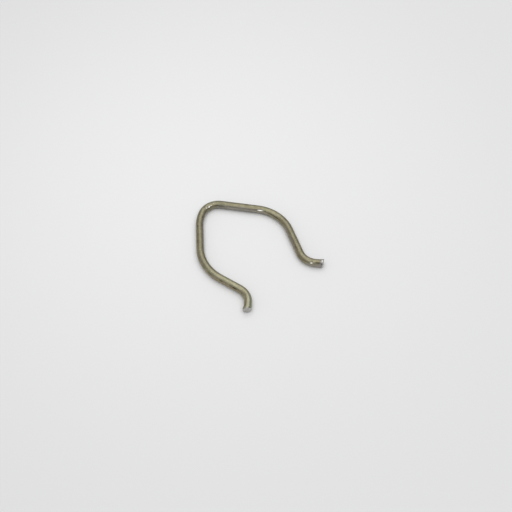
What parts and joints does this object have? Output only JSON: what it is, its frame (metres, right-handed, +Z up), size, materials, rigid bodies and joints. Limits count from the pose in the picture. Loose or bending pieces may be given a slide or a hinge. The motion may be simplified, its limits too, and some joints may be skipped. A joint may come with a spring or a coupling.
{
  "type": "wire spring clip",
  "caption": "Round spring wire bent flat into an open diamond, with a rounded closed corner, two shoulders and two short flared feet at its mouth.",
  "frame": {"origin": "middle of the clip's outline in plan, on the surface that it lies on", "axes": "+Z up, square to the plane of the bends; +Y towards the closed crown, with the mouth and the two feet towards -Y; the longer foot, by name the left one, is at -X"},
  "size_m": [0.0272, 0.0348, 0.002],
  "materials": {
    "spring_wire": "drawn spring wire with a thin olive yellow passivated plating, satin"
  },
  "bodies": {
    "root": {"spring_clip": "spring_wire"}
  },
  "joints": []
}
